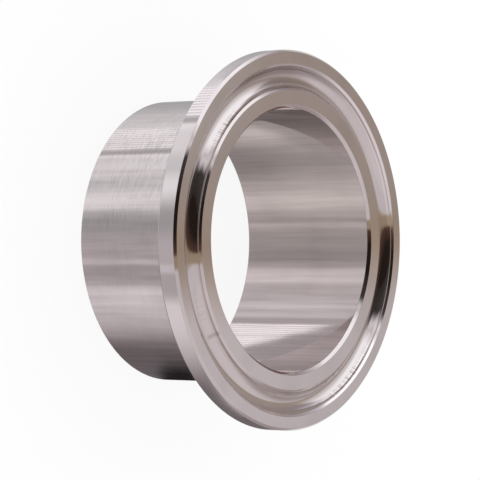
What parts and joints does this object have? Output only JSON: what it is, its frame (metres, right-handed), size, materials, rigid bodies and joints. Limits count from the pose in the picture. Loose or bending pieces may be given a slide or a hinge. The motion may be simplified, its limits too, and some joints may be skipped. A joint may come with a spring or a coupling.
{
  "type": "sanitary weld ferrule",
  "caption": "Short tube stub with a clamp flange: half-round gasket groove in the face, tapered clamp back, through bore and a square end for butt welding.",
  "frame": {"origin": "centre of the weld end, on the axis", "axes": "+Z along the axis, from the weld end to the gasket face"},
  "size_m": [0.0506, 0.0504, 0.021],
  "materials": {
    "turned_stainless": "turned and polished stainless steel, with fine tool lines round the axis"
  },
  "bodies": {
    "root": {"weld_ferrule": "turned_stainless"}
  },
  "joints": []
}
